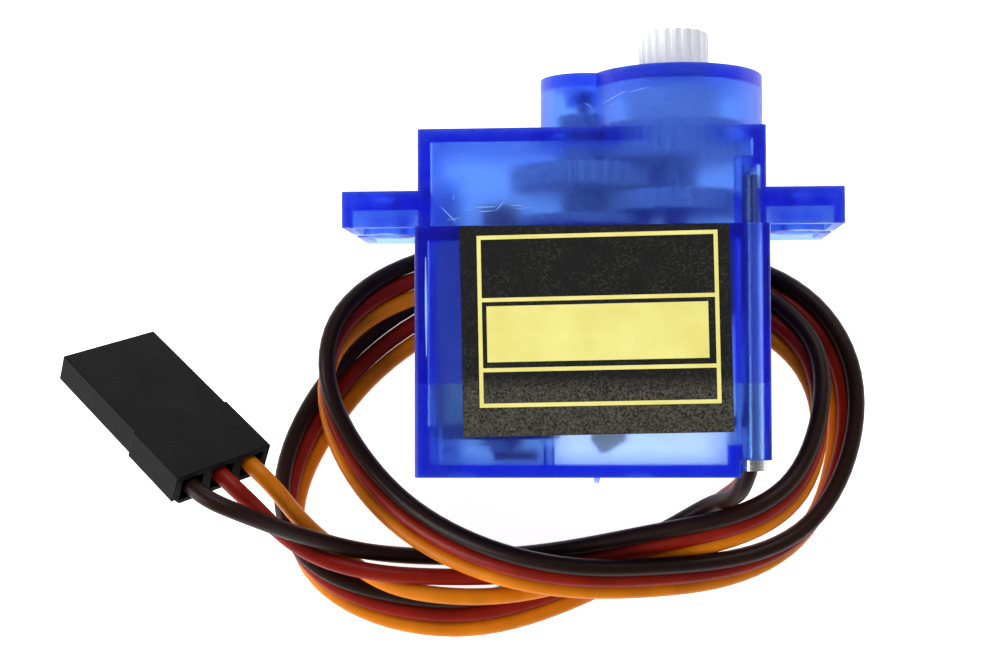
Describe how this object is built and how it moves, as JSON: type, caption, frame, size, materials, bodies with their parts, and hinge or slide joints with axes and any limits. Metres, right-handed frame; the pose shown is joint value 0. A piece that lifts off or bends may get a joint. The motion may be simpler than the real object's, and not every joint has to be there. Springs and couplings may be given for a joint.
{
  "type": "micro servo motor",
  "caption": "Micro hobby servo with a translucent blue case, splined output shaft, mounting lugs and a looped three-wire lead with a plug.",
  "frame": {"origin": "midway between the two lug holes, on the upper faces of the lugs", "axes": "+X along the case towards the output end, +Y along the output shaft away from the case, +Z out of the front face; the servo lies on its back on its own lead"},
  "size_m": [0.0568, 0.0419, 0.015],
  "materials": {
    "case_blue": "translucent royal blue injection-moulded plastic, polished",
    "label_black": "printed foil label, semi-gloss black with gold lines",
    "screw_steel": "zinc-plated steel screws",
    "steel": "ground steel pin and shaft",
    "motor_steel": "deep-drawn nickel-plated can",
    "magnet": "dark ferrite",
    "nylon_white": "white moulded nylon",
    "nylon_ivory": "off-white moulded nylon",
    "bronze": "sintered bronze",
    "contact_gold": "plated spring contact",
    "pinion_brass": "turned brass",
    "core_steel": "stacked core plates",
    "copper": "enamelled copper wire",
    "pot_plastic": "dark moulded plastic",
    "track": "carbon track on a thin base",
    "board_green": "lacquered circuit board",
    "chip_black": "moulded chip package",
    "part_tan": "small ceramic and tantalum parts",
    "tinned": "tinned pins and leads",
    "motor_wire": "soft brown insulation",
    "wire_brown": "soft PVC insulation, dark brown",
    "wire_red": "soft PVC insulation, red",
    "wire_orange": "soft PVC insulation, orange-yellow",
    "plug_black": "black moulded plastic"
  },
  "bodies": {
    "root": {"top_case": "case_blue", "middle_case": "case_blue", "bottom_cover": "case_blue", "case_screws": "screw_steel", "label": "label_black", "idler_axle": "steel", "motor_can": "motor_steel", "motor_magnets": "magnet", "motor_end_cap": "pot_plastic", "motor_bushes": "bronze", "motor_brushes": "contact_gold", "motor_terminals": "contact_gold", "pot_housing": "pot_plastic", "pot_track": "track", "pot_terminals": "tinned", "pot_leads": "tinned", "motor_leads": "motor_wire", "control_board": "board_green", "controller_chip": "chip_black", "board_parts": "part_tan", "lead_brown": "wire_brown", "lead_red": "wire_red", "lead_orange": "wire_orange", "plug_housing": "plug_black", "plug_contacts": "contact_gold"},
    "output": {"output_gear": "nylon_white", "pot_shaft": "nylon_white", "pot_wiper": "contact_gold"},
    "third_gear": {"third_gear": "nylon_ivory"},
    "second_gear": {"second_gear": "nylon_white"},
    "first_gear": {"first_gear": "nylon_ivory"},
    "rotor": {"motor_shaft": "steel", "motor_pinion": "pinion_brass", "armature_core": "core_steel", "armature_windings": "copper", "commutator": "copper"}
  },
  "joints": [
    {"name": "output_turn", "type": "hinge", "parent": "root", "child": "output", "pos_m": [0.0056, 0.0055, 0], "axis": [0, 1, 0], "range_deg": [-90, 90]},
    {"name": "third_gear_turn", "type": "hinge", "parent": "root", "child": "third_gear", "pos_m": [-0.00055, 0.0025, 0], "axis": [0, 1, 0], "range_deg": [-284.1, 284.1]},
    {"name": "second_gear_turn", "type": "hinge", "parent": "root", "child": "second_gear", "pos_m": [0.0056, 0.0005, 0], "axis": [0, 1, 0], "range_deg": [-978.8, 978.8]},
    {"name": "first_gear_turn", "type": "hinge", "parent": "root", "child": "first_gear", "pos_m": [-0.00055, -0.0015, 0], "axis": [0, 1, 0], "range_deg": [-3378.9, 3378.9]},
    {"name": "rotor_turn", "type": "hinge", "parent": "root", "child": "rotor", "pos_m": [-0.0062, -0.0085, 0], "axis": [0, 1, 0], "range_deg": [-13512.5, 13512.5]}
  ],
  "couplings": [
    {"joint": "third_gear_turn", "follows": "output_turn", "ratio": -3.0833},
    {"joint": "second_gear_turn", "follows": "output_turn", "ratio": 10.652},
    {"joint": "first_gear_turn", "follows": "output_turn", "ratio": -36.796},
    {"joint": "rotor_turn", "follows": "output_turn", "ratio": 147.18}
  ]
}
